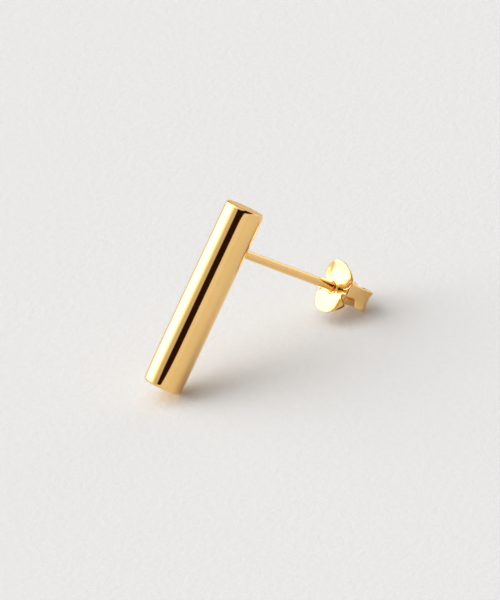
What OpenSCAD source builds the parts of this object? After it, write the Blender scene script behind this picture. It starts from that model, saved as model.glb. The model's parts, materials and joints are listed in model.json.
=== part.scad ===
// Bar earring: a round bar with a straight ear post soldered to its back, and a
// friction clutch on the post. It lies as it does when it is put down: on the rim
// of the bar's foot and on the clutch's two wings.
// The earring is modelled upright, with the foot of the bar at the origin, the bar
// up +Z and the post along +X, and is then leaned over into its resting pose.

/* [Bar] */
// Length of the bar
bar_len = 15; // [13:0.5:18]
// Diameter of the bar
bar_d = 3.15; // [2.8:0.05:3.5]
// Radius of the soft edge at each end of the bar
edge_r = 0.12; // [0.06:0.01:0.2]

/* [Ear post] */
// Diameter of the post
post_d = 0.7; // [0.6:0.05:0.8]
// Length of the post, from the bar's back to its rounded tip
post_len = 11.4; // [10.8:0.1:12.5]
// Height of the post above the bar's foot
post_height = 11.7; // [10.5:0.1:12.2]
// Radius of the solder fillet round the post's root
solder_r = 0.2; // [0.1:0.05:0.3]

/* [Clutch] */
// Distance from the bar's back to the clutch's plate
clutch_reach = 9.28; // [7.5:0.01:9.5]
// Thickness of the clutch's sheet metal
sheet_t = 0.2; // [0.15:0.05:0.3]
// Diameter of the plate
plate_d = 4.16; // [3.9:0.02:4.6]
// Depth of the plate's dish, whose rim faces the bar
plate_dish = 0.2; // [0.1:0.05:0.3]
// Radial gap between the post and the plate's hole
bore_gap = 0.04; // [0.02:0.01:0.08]
// Gap between the post and each wing that grips it
grip_gap = 0.02; // [0.01:0.01:0.05]

/* [Clutch notches] */
// Width of the notch in the plate that each wing stands in
notch_w = 2; // [1.95:0.05:2.1]
// Distance from the post's axis to the bottom of a notch
notch_start = 1.3; // [1.2:0.05:1.4]

/* [Clutch wings] */
// Depth of the wings, from the plate to the top of their curl
wing_depth = 2.7; // [2.4:0.05:2.9]
// Width of a wing where it curls
wing_w = 1.6; // [1.4:0.05:1.8]
// Width of a wing's neck, where it leaves the plate
neck_w = 0.96; // [0.8:0.02:1]
// Distance of a neck from the middle of its wing
neck_off = 0.44; // [0.3:0.02:0.44]
// Height above the plate at which the neck widens to the wing
shoulder_rise = 1.15; // [1:0.05:1.5]
// Radius of the bend at the neck's root, at the middle of the sheet
root_r = 0.2; // [0.2:0.05:0.35]
// Radius of the curl, at the middle of the sheet
curl_r = 0.6; // [0.5:0.01:0.65]
// Height above the plate of the wing's free edge beside the post
lip_rise = 0.95; // [0.7:0.05:1.2]

/* [Hidden] */

$fn = 128;
// Facets of the dish's flat arcs, which are much larger than the plate
dish_facets = 1440;
// Overlap of neighbouring parts of one piece of sheet
lap = 0.15;

bar_r = bar_d / 2;
post_r = post_d / 2;
half_t = sheet_t / 2;

// The solder ring's foot meets the round bar at the ring's sides
solder_foot_r = post_r + solder_r;
solder_foot = sqrt(pow(bar_r, 2) - pow(solder_foot_r, 2));

// Clutch: distances from the post's axis to the middle of each wing's sheet
plate_r = plate_d / 2;
bore_r = post_r + bore_gap;
lip_c = post_r + grip_gap + half_t;
wall_c = lip_c + 2 * curl_r;
curl_c = lip_c + curl_r;
root_c = wall_c - root_r;
// Each neck starts on the plate, between its hole and its notch
neck_start = (bore_r + notch_start) / 2;
curl_rise = wing_depth - half_t - curl_r;
// Radius of the dish at the middle of the sheet
dish_r = (pow(plate_r, 2) + pow(plate_dish, 2)) / (2 * plate_dish);

// Resting pose: the floor touches the round edge of the bar's foot, and the lower
// corners of the wings' curls
plate_x = bar_r + clutch_reach;
wing_x = plate_x + wing_depth;
wing_low = post_height - wing_w / 2;
wing_high = post_height + wing_w / 2;
rise = wing_low - edge_r;
run = wing_x - (bar_r - edge_r);
bar_slope = atan2(run, rise) - asin(edge_r / norm([run, rise]));
lean = 90 - bar_slope;
floor_z = edge_r * (sin(bar_slope) - 1) - (bar_r - edge_r) * cos(bar_slope);
foot_end_x = edge_r * (cos(bar_slope) - 1) - (bar_r - edge_r) * sin(bar_slope);
wing_end_x = wing_high * cos(bar_slope) + wing_x * sin(bar_slope);
middle_x = (foot_end_x + wing_end_x) / 2;

// Leans the upright earring over, and sets its lowest points on the floor
module at_rest() {
    translate([-middle_x, 0, -floor_z])
        rotate([0, lean, 0])
            children();
}

// Turns a shape that stands along +Z onto the post's line
module along_post() {
    translate([0, 0, post_height])
        rotate([0, 90, 0])
            children();
}

// Round bar with a soft edge at both ends
module bar() {
    rotate_extrude() {
        square([bar_r - edge_r, bar_len]);
        translate([0, edge_r]) square([bar_r, bar_len - 2 * edge_r]);
        for (z = [edge_r, bar_len - edge_r])
            translate([bar_r - edge_r, z]) circle(edge_r);
    }
}

// Straight post with a round tip, from the bar's axis outward
module post() {
    straight = bar_r + post_len - post_r;
    cylinder(h = straight, r = post_r);
    translate([0, 0, straight]) sphere(post_r);
}

// Ring of solder with a hollow slope from the bar to the post
module solder() {
    rotate_extrude()
        difference() {
            square([solder_foot_r, solder_foot + solder_r]);
            translate([solder_foot_r, solder_foot + solder_r]) circle(solder_r);
        }
}

// Dished plate, with a hole for the post and a notch for each wing
module plate() {
    difference() {
        rotate_extrude($fn = 2 * $fn)
            intersection() {
                translate([0, -dish_r]) sheet_ring(dish_r, $fn = dish_facets);
                translate([0, -plate_dish - sheet_t]) square([plate_r, plate_dish + 2 * sheet_t]);
            }
        cylinder(h = 4 * sheet_t, r = bore_r, center = true);
        for (side = [0, 180])
            rotate([0, 0, side])
                translate([-notch_w / 2, notch_start, -plate_dish - sheet_t])
                    cube([notch_w, plate_r, plate_dish + 2 * sheet_t]);
    }
}

// Ring of sheet about a bend, in the plane of a wing's side view
module sheet_ring(bend_r) {
    difference() {
        circle(bend_r + half_t);
        circle(bend_r - half_t);
    }
}

// Side view of the neck: flat on the plate, bent up at the root, then straight
module neck_outline() {
    translate([neck_start, -half_t]) square([root_c - neck_start, sheet_t]);
    translate([root_c, root_r])
        intersection() {
            sheet_ring(root_r);
            translate([0, -2 * root_r]) square(2 * root_r);
        }
    translate([wall_c - half_t, root_r]) square([sheet_t, shoulder_rise + lap - root_r]);
}

// Side view of the wing: straight up, curled over, and back down beside the post
module wing_outline() {
    translate([wall_c - half_t, shoulder_rise]) square([sheet_t, curl_rise - shoulder_rise]);
    translate([curl_c, curl_rise])
        intersection() {
            sheet_ring(curl_r);
            translate([-2 * curl_r, 0]) square([4 * curl_r, 2 * curl_r]);
        }
    translate([lip_c - half_t, lip_rise]) square([sheet_t, curl_rise - lip_rise]);
}

// Extrudes a side view along the bar's direction, centred on a given offset
module across(width, offset) {
    translate([offset - width / 2, 0, 0])
        rotate([90, 0, 90])
            linear_extrude(width)
                children();
}

// One wing with its neck
module wing() {
    across(neck_w, neck_off) neck_outline();
    across(wing_w, 0) wing_outline();
}

module bar_and_post() {
    color("gold")
        at_rest() {
            bar();
            along_post() {
                post();
                solder();
            }
        }
}

module clutch() {
    color("goldenrod")
        at_rest()
            along_post()
                translate([0, 0, plate_x]) {
                    plate();
                    for (side = [0, 180])
                        rotate([0, 0, side]) wing();
                }
}

bar_and_post();
clutch();
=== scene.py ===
import json
import math

import bpy
import numpy as np
from mathutils import Matrix, Vector
from mathutils.geometry import delaunay_2d_cdt


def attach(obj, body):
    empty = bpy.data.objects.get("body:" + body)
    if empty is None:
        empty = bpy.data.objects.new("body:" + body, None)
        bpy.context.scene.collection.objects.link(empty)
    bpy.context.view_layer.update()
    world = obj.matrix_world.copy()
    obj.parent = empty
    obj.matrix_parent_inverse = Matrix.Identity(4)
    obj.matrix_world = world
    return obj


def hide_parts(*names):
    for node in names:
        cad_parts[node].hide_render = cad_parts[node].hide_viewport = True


# The bar earring's visual model: a polished bar with its soldered post, and a
# friction clutch that is cut from a flat pattern of sheet and bent into shape.

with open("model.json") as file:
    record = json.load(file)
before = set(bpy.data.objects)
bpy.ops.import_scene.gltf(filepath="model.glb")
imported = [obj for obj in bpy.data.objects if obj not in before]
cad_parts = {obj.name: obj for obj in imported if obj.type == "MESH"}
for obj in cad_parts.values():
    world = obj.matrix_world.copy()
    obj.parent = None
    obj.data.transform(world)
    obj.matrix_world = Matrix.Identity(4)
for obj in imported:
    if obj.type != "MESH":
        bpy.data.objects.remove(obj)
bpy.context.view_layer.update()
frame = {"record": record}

MM = 0.001

# Sizes in millimetres, as the solids have them
BAR_LEN = 15.0
BAR_R = 1.575
EDGE_R = 0.12
POST_R = 0.35
POST_LEN = 11.4
POST_HEIGHT = 11.7
SOLDER_R = 0.2
CLUTCH_REACH = 9.28
SHEET_T = 0.2
PLATE_R = 2.06
HOLE_R = 0.39
ROOT_R = 0.2
CURL_R = 0.6
LIP_C = 0.47
LIP_RISE = 0.95
WING_DEPTH = 2.7
WING_HALF = 0.8

# Where the wings' bends lie, in distance from the post's axis
WALL_C = LIP_C + 2 * CURL_R
ROOT_C = WALL_C - ROOT_R
CURL_RISE = WING_DEPTH - SHEET_T / 2 - CURL_R


def earring_frame():
    """The earring's own axes: x along the post, y across, z up the bar from its foot."""
    mount = frame["record"]["mounts"][0]
    along_post = Vector(mount["axis"]).normalized()
    across = Vector((0, 1, 0))
    up_bar = along_post.cross(across)
    # The mount's point is the middle of the post's straight wall
    ring_r = POST_R + SOLDER_R
    wall_start = math.sqrt(BAR_R ** 2 - ring_r ** 2) + SOLDER_R
    wall_end = BAR_R + POST_LEN - POST_R
    middle = (wall_start + wall_end) / 2
    foot = Vector(mount["pos_m"]) - (up_bar * POST_HEIGHT + along_post * middle) * MM
    axes = Matrix((along_post, across, up_bar)).transposed()
    return Matrix.Translation(foot) @ (axes * MM).to_4x4()


EARRING = earring_frame()
# The post's own axes: z along the post from the bar's axis, x down the bar
POST = EARRING @ Matrix.Translation((0, 0, POST_HEIGHT)) @ Matrix.Rotation(math.pi / 2, 4, "Y")
CLUTCH = POST @ Matrix.Translation((0, 0, BAR_R + CLUTCH_REACH))


# Meshes

def add_piece(name, points, faces, place, body, cad_node, slot, *materials):
    """Makes a smooth piece from points in millimetres, on its body and in place of its CAD node;
    the slot is not used.
    """
    mesh = bpy.data.meshes.new(name)
    mesh.from_pydata([place @ Vector(p) for p in points], [], faces)
    mesh.validate()
    mesh.shade_smooth()
    for material in materials:
        mesh.materials.append(material)
    piece = bpy.data.objects.new(name, mesh)
    bpy.context.scene.collection.objects.link(piece)
    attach(piece, body)
    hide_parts(cad_node)
    return piece


def ring_faces(rings, sides):
    """Faces between rings of points that lie one after the other."""
    faces = []
    for k in range(rings - 1):
        for i in range(sides):
            j = (i + 1) % sides
            faces.append((k * sides + i, k * sides + j, (k + 1) * sides + j, (k + 1) * sides + i))
    return faces


def lathe(profile, sides):
    """Points and faces of a turned shape, from a profile of (radius, height), foot to top."""
    angles = [2 * math.pi * i / sides for i in range(sides)]
    points = [(r * math.cos(t), r * math.sin(t), z) for r, z in profile for t in angles]
    faces = ring_faces(len(profile), sides)
    foot, top = len(points), len(points) + 1
    points += [(0, 0, profile[0][1]), (0, 0, profile[-1][1])]
    last = (len(profile) - 1) * sides
    for i in range(sides):
        j = (i + 1) % sides
        faces.append((foot, j, i))
        faces.append((top, last + i, last + j))
    return points, faces


def arc(centre, radius, start, end, steps):
    """Points on an arc, with angles in degrees."""
    turn = [math.radians(start + (end - start) * k / steps) for k in range(steps + 1)]
    return [(centre[0] + radius * math.cos(t), centre[1] + radius * math.sin(t)) for t in turn]


def bezier(corners, t):
    """Point of a cubic curve in a plane, from its four corners."""
    weights = ((1 - t) ** 3, 3 * t * (1 - t) ** 2, 3 * t * t * (1 - t), t ** 3)
    return tuple(sum(w * p[i] for w, p in zip(weights, corners)) for i in range(2))


# The bar, whose ends are drawn in a little by polishing

FOOT_BUFF = {"length": 3.2, "depth": 0.07}
TOP_BUFF = {"length": 1.2, "depth": 0.02}
# The soft edge is longer along the bar than it is deep
EDGE_LEN = 0.24
BAR_RING_GAP = 0.12
BAR_SIDES = 256
END_RINGS = 12
EDGE_STEPS = 16
# How far from a flat end a face's middle may lie and still be part of it
FLAT_END = 0.001


def buffed(depth, length, from_end):
    """How far buffing draws the bar's side in, at a distance from its end."""
    return depth * max(0.0, 1 - from_end / length) ** 3


def bar_radius(z):
    """Radius of the bar at height z, inside its soft edges."""
    foot = buffed(FOOT_BUFF["depth"], FOOT_BUFF["length"], z)
    top = buffed(TOP_BUFF["depth"], TOP_BUFF["length"], BAR_LEN - z)
    return BAR_R - foot - top


def bar_end(z_end, inward):
    """Rings of one end, from its middle to the inner end of its soft edge."""
    inner_r = bar_radius(z_end) - EDGE_R
    rings = [(inner_r * k / END_RINGS, z_end) for k in range(1, END_RINGS)]
    for k in range(EDGE_STEPS + 1):
        t = math.pi / 2 * k / EDGE_STEPS
        z = z_end + inward * EDGE_LEN * (1 - math.cos(t))
        rings.append((bar_radius(z) - EDGE_R * (1 - math.sin(t)), z))
    return rings


def bar_profile():
    """Outline of the bar from the middle of its foot to the middle of its top."""
    straight = BAR_LEN - 2 * EDGE_LEN
    steps = round(straight / BAR_RING_GAP)
    heights = [EDGE_LEN + straight * k / steps for k in range(1, steps)]
    side = [(bar_radius(z), z) for z in heights]
    return bar_end(0, 1) + side + bar_end(BAR_LEN, -1)[::-1]


# The post, which runs out into the bar in a hollow fillet of solder

POST_SIDES = 96
POST_RING_GAP = 0.2
FILLET_STEPS = 12
# Reach of the fillet curve's handles, as a share of its radius
FILLET_PULL = 0.55
# How far the post starts inside the bar
POST_SINK = 0.3
# The round tip's last ring, in degrees from its widest one
TIP_TURN = 88
TIP_STEPS = 12


def post_mesh():
    """Points and faces of the post, its solder fillet and its round tip."""
    rim_r = POST_R + SOLDER_R
    steps_up = round(POST_LEN / POST_RING_GAP)
    wall_start = BAR_R + SOLDER_R
    wall_end = BAR_R + POST_LEN - POST_R
    straight = [wall_start + (wall_end - wall_start) * k / steps_up for k in range(1, steps_up)]
    tip = arc((0, wall_end), POST_R, 0, TIP_TURN, TIP_STEPS)
    angles = [2 * math.pi * i / POST_SIDES for i in range(POST_SIDES)]
    rings = [[(rim_r, BAR_R - POST_SINK)] * POST_SIDES]
    for k in range(FILLET_STEPS + 1):
        ring = []
        for t in angles:
            # The bar curves away across the post, and not along itself
            across = abs(math.sin(t))
            start = math.sqrt(BAR_R ** 2 - (rim_r * across) ** 2)
            slope = rim_r * across ** 2 / start
            pull = SOLDER_R * FILLET_PULL
            corners = [
                (rim_r, start),
                (rim_r - pull, start + slope * pull),
                (POST_R, BAR_R + SOLDER_R - pull),
                (POST_R, BAR_R + SOLDER_R),
            ]
            ring.append(bezier(corners, k / FILLET_STEPS))
        rings.append(ring)
    rings += [[(POST_R, z)] * POST_SIDES for z in straight]
    rings += [[(r, z)] * POST_SIDES for r, z in tip]
    points = [
        (r * math.cos(t), r * math.sin(t), z)
        for ring in rings
        for (r, z), t in zip(ring, angles)
    ]
    faces = ring_faces(len(rings), POST_SIDES)
    faces.append(tuple(reversed(range(POST_SIDES))))
    last = (len(rings) - 1) * POST_SIDES
    faces.append(tuple(range(last, last + POST_SIDES)))
    return points, faces


# The clutch: a flat pattern of sheet, cut out, meshed and bent. On the pattern x runs
# along the bar and y across it, and beyond ROOT_C y is the length along a tongue. The second
# half of the pattern is the first turned half a turn about the post, with a larger lobe.

# Spacing of the sheet's points, inside it and along its edge
GRID = 0.055
EDGE_STEP = 0.05
# Radius of the rolled edge, seen from the side
SHEET_EDGE = 0.07
# Turns round the rolled edge, in degrees, from a face to the edge's middle
EDGE_TURNS = (22.5, 45, 67.5, 90)
# Largest cut at a corner of the pattern, and the largest share of a side that it takes
PATTERN_CORNER = 0.14
CORNER_SHARE = 0.45
CORNER_STEPS = 6
RIM_STEPS = 54
HOLE_SIDES = 48
# A very small length in millimetres, and the distance at which two points are one
TINY = 1e-4
WELD = 1e-7
# The plate is dished along the bar and arched across it
PLATE_DISH = 0.3
PLATE_ARCH = 0.22
# A ridge on each lobe, leaning away from the near tongue
RIDGE = {"turn": math.radians(27), "height": 0.025, "half": 0.42, "start": 0.3, "end": 1.0}
# The collar round the hole
COLLAR = {"height": 0.12, "reach": 0.16}
# The lower lobe's edge beside the near tongue is bent back
ROLL = {"start": 1.2, "soft": 0.07, "slope": 0.42, "from": 0.2, "full": 0.6}
# Each lobe's rim is turned back a little
RIM = {"reach": 0.2, "depth": 0.045}
# Hollow of a tongue across its width, and the widening of its lip
SADDLE = 0.15
LIP_FLARE = 0.1
LIP_FLARE_RUN = 0.8
# Each lobe's rim, with its ends in degrees from the bar's direction, and its two corners
LOWER_LOBE = {"radius": 2.04, "rim": (-55, 48), "first": (0.89, -1.83), "last": (1.11, 1.71)}
UPPER_LOBE = {"radius": 2.12, "rim": (-62, 48), "first": (0.5, -1.92), "last": (1.15, 1.78)}
# The edge's other corners: the bottoms of the gaps before and after a lobe, then out along
# the tongue's neck and wall, and back. The wall's are (offset, height over the plate)
GAP_BEFORE = (0.34, -1.36)
GAP_AFTER = [(0.58, 1.3), (0.3, 1.24)]
NECK_OUT = [(0.52, 1.6), (0.9, 1.68)]
WALL_OUT = [(0.93, 0.5), (0.9, 1.7)]
WALL_BACK = [(-0.74, 2), (-0.79, 1.48), (-0.06, 1.08), (-0.12, 0.42)]
NECK_BACK = [(-0.02, 1.6), (-0.12, 1.26)]
# Lines through the gaps between a tongue and the lobes beside it, with the slope of x over y
GAP_RIGHT = {"x": 0.45, "y": 1.3, "slope": 1.28}
GAP_LEFT = {"x": -0.2, "y": 1.35, "slope": -0.4}

ARC_ROOT = ROOT_R * math.pi / 2
ARC_CURL = CURL_R * math.pi
WALL_RUN = CURL_RISE - ROOT_R
LIP_RUN = CURL_RISE - LIP_RISE
TONGUE_END = ROOT_C + ARC_ROOT + WALL_RUN + ARC_CURL + LIP_RUN


def on_wall(across, rise):
    """Point of the pattern that lands on the tongue's wall at an offset and a height."""
    return (across, ROOT_C + ARC_ROOT + rise - ROOT_R)


def rounded(corners, radius):
    """An open outline of (x, y) corners with each inner corner rounded off."""
    line = [corners[0]]
    for before, here, after in zip(corners, corners[1:], corners[2:]):
        p, a, b = Vector(here), Vector(before), Vector(after)
        cut = min(radius, (a - p).length * CORNER_SHARE, (b - p).length * CORNER_SHARE)
        start = p + (a - p).normalized() * cut
        end = p + (b - p).normalized() * cut
        for k in range(CORNER_STEPS + 1):
            t = k / CORNER_STEPS
            line.append(tuple(start.lerp(p, t).lerp(p.lerp(end, t), t)))
    line.append(corners[-1])
    return line


def half_outline(lobe):
    """Half of the pattern's edge: one lobe of the plate, and the tongue after it."""
    rim = arc((0, 0), lobe["radius"], *lobe["rim"], RIM_STEPS)
    plate = [GAP_BEFORE, lobe["first"]] + rim + [lobe["last"]] + GAP_AFTER
    out = NECK_OUT + [on_wall(across, rise) for across, rise in WALL_OUT]
    lip_start = TONGUE_END - LIP_FLARE_RUN
    flare = WING_HALF + LIP_FLARE
    lip = [
        (WING_HALF, lip_start),
        (flare, TONGUE_END),
        (-flare, TONGUE_END),
        (-WING_HALF, lip_start),
    ]
    back = [on_wall(across, rise) for across, rise in WALL_BACK] + NECK_BACK
    return plate + out + lip + back


def evened(loop, step):
    """A closed loop of points, with its long stretches divided."""
    out = []
    for a, b in zip(loop, loop[1:] + loop[:1]):
        parts = max(1, round(math.dist(a, b) / step))
        run = (b[0] - a[0], b[1] - a[1])
        out += [(a[0] + run[0] * k / parts, a[1] + run[1] * k / parts) for k in range(parts)]
    return out


def pattern_loops():
    """The pattern's edge and its hole, both counter-clockwise."""
    closed = half_outline(LOWER_LOBE) + [(-x, -y) for x, y in half_outline(UPPER_LOBE)]
    closed = rounded(closed + closed[:2], PATTERN_CORNER)[1:-1]
    closed = [p for p, q in zip(closed, closed[1:] + closed[:1]) if math.dist(p, q) > TINY]
    hole = arc((0, 0), HOLE_R, 0, 360, HOLE_SIDES)[:-1]
    return evened(closed, EDGE_STEP), hole


def inside(points, loop):
    """Whether each point lies inside a closed loop."""
    x, y = points[:, 0], points[:, 1]
    result = np.zeros(len(points), bool)
    for (ax, ay), (bx, by) in zip(loop, loop[1:] + loop[:1]):
        if ay != by:
            crosses = ((ay > y) != (by > y)) & (x < (bx - ax) * (y - ay) / (by - ay) + ax)
            result ^= crosses
    return result


def clearance(points, loop):
    """Distance of each point from the nearest stretch of a closed loop."""
    best = np.full(len(points), np.inf)
    for a, b in zip(loop, loop[1:] + loop[:1]):
        a, b = np.array(a), np.array(b)
        along = np.clip(((points - a) @ (b - a)) / max((b - a) @ (b - a), WELD ** 2), 0, 1)
        near = points - a - along[:, None] * (b - a)
        best = np.minimum(best, np.hypot(near[:, 0], near[:, 1]))
    return best


def shrunk(loop, amount):
    """A loop moved inwards by a small amount, and its outward directions."""
    p = np.array(loop)
    step = np.roll(p, -1, 0) - np.roll(p, 1, 0)
    out = np.stack([step[:, 1], -step[:, 0]], 1)
    out /= np.linalg.norm(out, axis=1)[:, None]
    return p - out * amount, out


def ease_in(value, start, end):
    """A smooth rise from zero to one as a value goes from start to end."""
    t = np.clip((value - start) / (end - start), 0, 1)
    return t * t * (3 - 2 * t)


def plate_height(x, y):
    """Height of the plate's middle over its centre: x down the bar, y to the far side."""
    height = PLATE_ARCH * (y / PLATE_R) ** 2 - PLATE_DISH * (x / PLATE_R) ** 2
    along = np.abs(x) * math.cos(RIDGE["turn"]) + y * math.sin(RIDGE["turn"])
    off = y * math.cos(RIDGE["turn"]) - np.abs(x) * math.sin(RIDGE["turn"])
    ridge = ease_in(along, RIDGE["start"], RIDGE["end"]) * np.exp(-(off / RIDGE["half"]) ** 2)
    from_hole = np.maximum(np.hypot(x, y) - HOLE_R, 0)
    collar = np.exp(-((from_hole / COLLAR["reach"]) ** 2))
    height = height - RIDGE["height"] * ridge - COLLAR["height"] * collar
    roll = np.logaddexp(0, (-y - ROLL["start"]) / ROLL["soft"]) * ROLL["soft"]
    roll = roll * ease_in(x, ROLL["from"], ROLL["full"])
    # The rim lies halfway along its rise, so that the slope is greatest there
    lobe_r = np.where(x < 0, UPPER_LOBE["radius"], LOWER_LOBE["radius"])
    rim = ease_in(np.hypot(x, y), lobe_r - RIM["reach"], lobe_r + RIM["reach"])
    return height + ROLL["slope"] * roll + rim * RIM["depth"] * 2


def bend(points, on_tongue):
    """Bends points of the flat pattern into shape: the middle of the sheet."""
    flip = np.where(points[:, 1] < 0, -1.0, 1.0)
    x, y = points[:, 0] * flip, points[:, 1] * flip
    # The tongue: root bend, straight wall, curl and lip
    run = np.maximum(y - ROOT_C, 0)
    root = np.clip(run, 0, ARC_ROOT) / ROOT_R
    wall = np.clip(run - ARC_ROOT, 0, WALL_RUN)
    curl = np.clip(run - ARC_ROOT - WALL_RUN, 0, ARC_CURL) / CURL_R
    lip = np.maximum(run - ARC_ROOT - WALL_RUN - ARC_CURL, 0)
    c = np.minimum(y, ROOT_C) + ROOT_R * np.sin(root) - CURL_R * (1 - np.cos(curl))
    base = plate_height(x * flip, ROOT_C * flip)
    n = base * np.cos(root) + ROOT_R * (1 - np.cos(root)) + wall + CURL_R * np.sin(curl) - lip
    # Tight bends pull the sheet hollow across its width
    share = np.clip((run - ARC_ROOT) / WALL_RUN, 0, 1)
    saddle = SADDLE * share * ((x / WING_HALF) ** 2 - 1)
    c = np.where(on_tongue, c + saddle * np.cos(curl), y)
    n = np.where(on_tongue, n + saddle * np.sin(curl), plate_height(points[:, 0], points[:, 1]))
    return np.stack([x * flip, c * flip, n], 1)


def part_of_tongue(points):
    """Whether each point of the pattern lies on a tongue, beyond its root."""
    flip = np.where(points[:, 1] < 0, -1.0, 1.0)
    x, y = points[:, 0] * flip, points[:, 1] * flip
    right = x < GAP_RIGHT["x"] + GAP_RIGHT["slope"] * (y - GAP_RIGHT["y"])
    left = x > GAP_LEFT["x"] + GAP_LEFT["slope"] * (y - GAP_LEFT["y"])
    return (y > ROOT_C) & ((right & left) | (y > PLATE_R))


def sheet_mesh():
    """Points and faces of the clutch, a bent sheet with rolled edges."""
    outline, hole = pattern_loops()
    edge_loops = []
    for loop, sign in ((outline, 1), (hole, -1)):
        inner, out = shrunk(loop, SHEET_EDGE * sign)
        edge_loops.append((inner, out * sign))
    rims = [inner for inner, _ in edge_loops]
    loops = [[tuple(p) for p in rim] for rim in rims]

    lo, hi = rims[0].min(0), rims[0].max(0)
    rows = np.arange(lo[1], hi[1], GRID * math.sqrt(3) / 2)
    grid = np.array([
        (x + (k % 2) * GRID / 2, y)
        for k, y in enumerate(rows)
        for x in np.arange(lo[0], hi[0], GRID)
    ])
    keep = inside(grid, loops[0]) & ~inside(grid, loops[1])
    grid = grid[keep]
    far = np.minimum(clearance(grid, loops[0]), clearance(grid, loops[1])) > GRID / 2
    grid = grid[far]

    flat = np.concatenate(rims + [grid])
    edges, start = [], 0
    for rim in rims:
        count = len(rim)
        edges += [(start + i, start + (i + 1) % count) for i in range(count)]
        start += count
    flat = [Vector(p) for p in flat]
    corners, _, triangles, *_ = delaunay_2d_cdt(flat, edges, [], 0, WELD)
    flat = np.array([tuple(p) for p in corners])
    triangles = np.array(triangles)
    middle = flat[triangles].mean(1)
    wanted = inside(middle, loops[0]) & ~inside(middle, loops[1])
    triangles = triangles[wanted]
    a, b, c = (flat[triangles[:, k]] for k in range(3))
    turn = (b - a)[:, 0] * (c - a)[:, 1] - (b - a)[:, 1] * (c - a)[:, 0]
    triangles[turn < 0] = triangles[turn < 0][:, ::-1]
    return flat, triangles, edge_loops


def clutch_mesh():
    """Points and faces of the bent clutch."""
    flat, triangles, edge_loops = sheet_mesh()
    on_tongue = part_of_tongue(flat)

    middle = bend(flat, on_tongue)
    along_x = (bend(flat + (TINY, 0), on_tongue) - middle) / TINY
    along_y = (bend(flat + (0, TINY), on_tongue) - middle) / TINY
    normal = np.cross(along_x, along_y)
    normal /= np.linalg.norm(normal, axis=1)[:, None]

    half_t = SHEET_T / 2
    points = [middle + normal * half_t, middle - normal * half_t]
    count = len(flat)
    faces = [tuple(t) for t in triangles] + [tuple(t[::-1] + count) for t in triangles]

    # The rolled edge: rings of points from the upper face round to the lower one
    turns = [math.radians(t) for t in EDGE_TURNS]
    section = [(math.sin(t), half_t - SHEET_EDGE * (1 - math.cos(t))) for t in turns]
    section += [(s, -h) for s, h in reversed(section)]
    start, total = 0, 2 * count
    for inner, out in edge_loops:
        size = len(inner)
        ids = np.arange(start, start + size)
        direction = along_x[ids] * out[:, :1] + along_y[ids] * out[:, 1:]
        direction /= np.linalg.norm(direction, axis=1)[:, None]
        rings = [ids]
        for reach, height in section:
            points.append(middle[ids] + direction * SHEET_EDGE * reach + normal[ids] * height)
            rings.append(np.arange(total, total + size))
            total += size
        rings.append(ids + count)
        # The outer loop runs counter-clockwise and the hole's edge faces inwards
        for upper, lower in zip(rings, rings[1:]):
            for i in range(size):
                j = (i + 1) % size
                quad = (upper[j], upper[i], lower[i], lower[j])
                faces.append(quad if start == 0 else quad[::-1])
        start += size
    faces = [tuple(int(v) for v in f) for f in faces]
    return np.concatenate(points), faces


# Materials, with scales for each metre and depths in metres

GOLD_DARKER = (0.92, 0.56, 0.175, 1)
GOLD_LIGHTER = (0.955, 0.59, 0.2, 1)
LACQUER_IOR = 1.58
MARKS = {"strength": 0.12, "depth": 0.000002}
PAPER_DARKER = (0.855, 0.853, 0.847, 1)
PAPER_LIGHTER = (0.9, 0.898, 0.892, 1)
GRAIN = {"scale": 1800.0, "strength": 0.5, "depth": 0.0001}


def node(tree, kind, **values):
    """Adds a node and sets its named inputs and properties."""
    made = tree.nodes.new(kind)
    for key, value in values.items():
        name = key.replace("_", " ")
        if name in made.inputs:
            made.inputs[name].default_value = value
        else:
            setattr(made, key, value)
    return made


def polished_gold(name, marks_scale, dents_scale, dents_depth, tint, smooth, wear, lacquer=1.0):
    """Bright gold plate: a little uneven in tone, with shallow dents and faint marks."""
    material = bpy.data.materials.new(name)
    material.use_nodes = True
    tree = material.node_tree
    shader = tree.nodes["Principled BSDF"]
    shader.inputs["Metallic"].default_value = 1.0
    shader.inputs["Coat Weight"].default_value = lacquer
    shader.inputs["Coat IOR"].default_value = LACQUER_IOR
    shader.inputs["Coat Roughness"].default_value = smooth
    shader.inputs["Specular Tint"].default_value = tint
    place = tree.nodes.new("ShaderNodeTexCoord")

    tone = node(tree, "ShaderNodeTexNoise", Scale=dents_scale, Detail=1.0)
    tree.links.new(place.outputs["Object"], tone.inputs["Vector"])
    colours = tree.nodes.new("ShaderNodeValToRGB")
    colours.color_ramp.elements[0].position = 0.3
    colours.color_ramp.elements[0].color = GOLD_DARKER
    colours.color_ramp.elements[1].position = 0.7
    colours.color_ramp.elements[1].color = GOLD_LIGHTER
    tree.links.new(tone.outputs["Fac"], colours.inputs["Fac"])
    tree.links.new(colours.outputs["Color"], shader.inputs["Base Color"])

    marks = node(tree, "ShaderNodeTexNoise", Scale=marks_scale, Detail=4.0, Roughness=0.6)
    tree.links.new(place.outputs["Object"], marks.inputs["Vector"])
    rough = node(tree, "ShaderNodeMapRange")
    rough.inputs["To Min"].default_value = smooth
    rough.inputs["To Max"].default_value = smooth + wear
    tree.links.new(marks.outputs["Fac"], rough.inputs["Value"])
    tree.links.new(rough.outputs["Result"], shader.inputs["Roughness"])

    pressed = node(tree, "ShaderNodeBump", Strength=1.0, Distance=dents_depth)
    tree.links.new(tone.outputs["Fac"], pressed.inputs["Height"])
    bump = node(tree, "ShaderNodeBump", Strength=MARKS["strength"], Distance=MARKS["depth"])
    tree.links.new(pressed.outputs["Normal"], bump.inputs["Normal"])
    tree.links.new(marks.outputs["Fac"], bump.inputs["Height"])
    tree.links.new(bump.outputs["Normal"], shader.inputs["Normal"])
    return material


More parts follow.
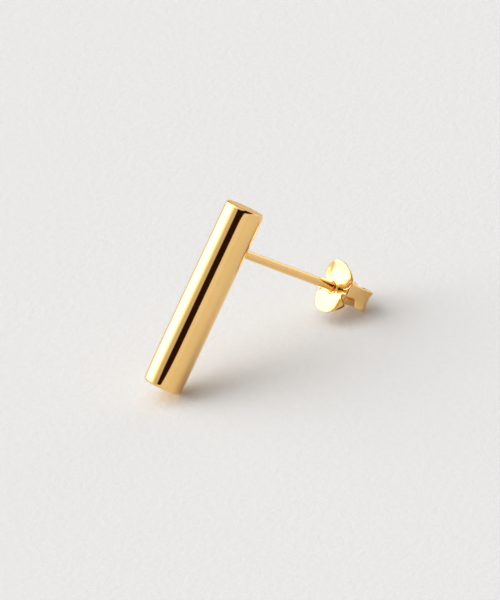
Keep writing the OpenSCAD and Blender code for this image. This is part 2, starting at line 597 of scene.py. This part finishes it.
def paper(name):
    """A pale matt sheet with a faint grain."""
    material = bpy.data.materials.new(name)
    material.use_nodes = True
    tree = material.node_tree
    shader = tree.nodes["Principled BSDF"]
    shader.inputs["Roughness"].default_value = 0.9
    shader.inputs["Specular IOR Level"].default_value = 0.2
    place = tree.nodes.new("ShaderNodeTexCoord")
    grain = node(tree, "ShaderNodeTexNoise", Scale=GRAIN["scale"], Detail=5.0, Roughness=0.65)
    tree.links.new(place.outputs["Object"], grain.inputs["Vector"])
    colours = tree.nodes.new("ShaderNodeValToRGB")
    colours.color_ramp.elements[0].color = PAPER_DARKER
    colours.color_ramp.elements[1].color = PAPER_LIGHTER
    tree.links.new(grain.outputs["Fac"], colours.inputs["Fac"])
    tree.links.new(colours.outputs["Color"], shader.inputs["Base Color"])
    bump = node(tree, "ShaderNodeBump", Strength=GRAIN["strength"], Distance=GRAIN["depth"])
    tree.links.new(grain.outputs["Fac"], bump.inputs["Height"])
    tree.links.new(bump.outputs["Normal"], shader.inputs["Normal"])
    return material


# The studio

# Half of the floor's side, and the camera's distance, in metres
FLOOR_HALF = 0.9
CAMERA_DISTANCE = 1.2
# The camera's sensor, and what the picture's long side takes in, in millimetres
SENSOR = 36.0
VIEW_HEIGHT_MM = 45.3
# The picture's centre, to the right of the bar's middle and below it, in millimetres
AIM_RIGHT, AIM_UP = 3.36, -0.21
# The camera's right, up and back
CAMERA_AXES = (
    (0.8363, -0.5155, -0.1873),
    (0.3986, 0.3366, 0.8532),
    (-0.3766, -0.7882, 0.4868),
)


def add_floor():
    """A plain pale floor under the earring."""
    mesh = bpy.data.meshes.new("floor")
    h = FLOOR_HALF
    mesh.from_pydata([(-h, -h, 0), (h, -h, 0), (h, h, 0), (-h, h, 0)], [], [(0, 1, 2, 3)])
    mesh.materials.append(paper("pale_paper"))
    floor = bpy.data.objects.new("floor", mesh)
    bpy.context.scene.collection.objects.link(floor)


def add_camera():
    """The photograph's view: from above and to the left, with the picture a little turned."""
    right, up, back = (Vector(v) for v in CAMERA_AXES)
    middle = EARRING @ Vector((0, 0, BAR_LEN / 2))
    target = middle + (right * AIM_RIGHT + up * AIM_UP) * MM
    data = bpy.data.cameras.new("camera")
    data.sensor_width = SENSOR
    data.lens = SENSOR * CAMERA_DISTANCE / (VIEW_HEIGHT_MM * MM)
    data.clip_start, data.clip_end = 0.01, 10
    camera = bpy.data.objects.new("camera", data)
    axes = Matrix((right, up, back)).transposed().to_4x4()
    camera.matrix_world = Matrix.Translation(target + back * CAMERA_DISTANCE) @ axes
    bpy.context.scene.collection.objects.link(camera)
    bpy.context.scene.camera = camera


# Patches of light by direction. Side is the turn to the left of the camera, in degrees,
# and rise is the height over the horizon. Each gives start, end and softness.
LIGHTS = (
    {"name": "lamp", "side": (91, 150, 14), "rise": (5, 39, 9), "level": 1.0},
    {"name": "lamp_core", "side": (84, 126, 22), "rise": (9, 40, 12), "level": 0.6},
    {"name": "lamp_glow", "side": (79, 152, 38), "rise": (3, 58, 8), "level": 1.6},
    {"name": "lamp_top", "side": (85, 160, 20), "rise": (56, 76, 8), "level": 0.6},
    {"name": "left_wall", "side": (42, 168, 8), "rise": (-4, 76, 6), "level": 0.66},
    {"name": "front_card", "side": (-142, 42, 6), "rise": (-4, 18, 1.6), "level": 0.86},
    {"name": "right_wall", "side": (-178, -112, 20), "rise": (-4, 50, 12), "level": 0.5},
    {"name": "ceiling", "side": (-190, 190, 1), "rise": (56, 96, 10), "level": 0.85},
)
DARK_ROOM = (0.024, 0.009, 0.002, 1)
LAMP_WHITE = (1, 0.997, 0.988, 1)


def maths(tree, operation, a, b=None):
    """A maths node on sockets or numbers."""
    made = tree.nodes.new("ShaderNodeMath")
    made.operation = operation
    for socket, value in zip(made.inputs, (a, b)):
        if isinstance(value, bpy.types.NodeSocket):
            tree.links.new(value, socket)
        elif value is not None:
            socket.default_value = value
    return made.outputs[0]


def product(tree, a, b):
    """The product of sockets or numbers."""
    return maths(tree, "MULTIPLY", a, b)


def ease(tree, value, start, end, low=0.0, high=1.0):
    """A smooth rise from low to high as a value goes from start to end."""
    made = tree.nodes.new("ShaderNodeMapRange")
    made.interpolation_type = "SMOOTHSTEP"
    tree.links.new(value, made.inputs["Value"])
    for name, number in (("From Min", start), ("From Max", end), ("To Min", low), ("To Max", high)):
        made.inputs[name].default_value = number
    return made.outputs["Result"]


def window(tree, value, start, end, soft):
    """One between start and end, and zero outside, with soft sides."""
    rise = ease(tree, value, start - soft / 2, start + soft / 2)
    fall = ease(tree, value, end - soft / 2, end + soft / 2, 1.0, 0.0)
    return product(tree, rise, fall)


def add_studio():
    """Soft light by direction: a large lamp at the left, pale walls and a dark room."""
    world = bpy.data.worlds.new("studio")
    bpy.context.scene.world = world
    world.use_nodes = True
    tree = world.node_tree
    direction = tree.nodes.new("ShaderNodeTexCoord").outputs["Generated"]
    split = tree.nodes.new("ShaderNodeSeparateXYZ")
    tree.links.new(direction, split.inputs[0])
    x, y, z = split.outputs
    # Side: the turn to the left of the camera's own direction, in degrees
    front = Vector((CAMERA_AXES[2][0], CAMERA_AXES[2][1])).normalized()
    left = Vector((front.y, -front.x))
    forward = maths(tree, "ADD", product(tree, x, front.x), product(tree, y, front.y))
    sideways = maths(tree, "ADD", product(tree, x, left.x), product(tree, y, left.y))
    side = product(tree, maths(tree, "ARCTAN2", sideways, forward), 180 / math.pi)
    rise = product(tree, maths(tree, "ARCSINE", z), 180 / math.pi)

    total = None
    for patch in LIGHTS:
        across = window(tree, side, *patch["side"])
        upright = window(tree, rise, *patch["rise"])
        level = product(tree, product(tree, across, upright), patch["level"])
        total = level if total is None else maths(tree, "ADD", total, level)

    # The room's own darkness is a warm brown
    mix = tree.nodes.new("ShaderNodeMix")
    mix.data_type = "RGBA"
    tree.links.new(maths(tree, "MINIMUM", total, 1.0), mix.inputs["Factor"])
    mix.inputs["A"].default_value = DARK_ROOM
    mix.inputs["B"].default_value = LAMP_WHITE
    background = tree.nodes["Background"]
    # The third of the mix node's results is the colour
    tree.links.new(mix.outputs[2], background.inputs["Color"])
    tree.links.new(maths(tree, "MAXIMUM", total, 1.0), background.inputs["Strength"])


def add_bar(side_gold, end_gold):
    """The bar, whose two flat ends are less polished than its side."""
    points, faces = lathe(bar_profile(), BAR_SIDES)
    golds = (side_gold, end_gold)
    bar = add_piece("bar", points, faces, EARRING, "bar", "bar_and_post", "bar_metal", *golds)
    for face, corners in zip(bar.data.polygons, faces):
        height = sum(points[i][2] for i in corners) / len(corners)
        at_end = height < FLAT_END or height > BAR_LEN - FLAT_END
        face.material_index = 1 if at_end else 0


add_camera()
add_studio()
add_floor()

bar_gold = polished_gold(
    "bar_gold",
    marks_scale=3000.0,
    dents_scale=420.0,
    dents_depth=0.000002,
    tint=(1, 0.95, 0.85, 1),
    smooth=0.04,
    wear=0.05,
)
clutch_gold = polished_gold(
    "clutch_gold",
    marks_scale=5000.0,
    dents_scale=900.0,
    dents_depth=0.00006,
    tint=(0.98, 0.85, 0.65, 1),
    smooth=0.1,
    wear=0.1,
)
end_gold = polished_gold(
    "end_gold",
    marks_scale=3000.0,
    dents_scale=420.0,
    dents_depth=0.000002,
    tint=(0.97, 0.78, 0.5, 1),
    smooth=0.2,
    wear=0.1,
    lacquer=0.0,
)
add_bar(bar_gold, end_gold)
points, faces = post_mesh()
add_piece("ear_post", points, faces, POST, "bar", "bar_and_post", "bar_metal", bar_gold)
points, faces = clutch_mesh()
add_piece("clutch_sheet", points, faces, CLUTCH, "clutch", "clutch", "clutch_metal", clutch_gold)

bpy.context.scene.view_settings.view_transform = "Standard"
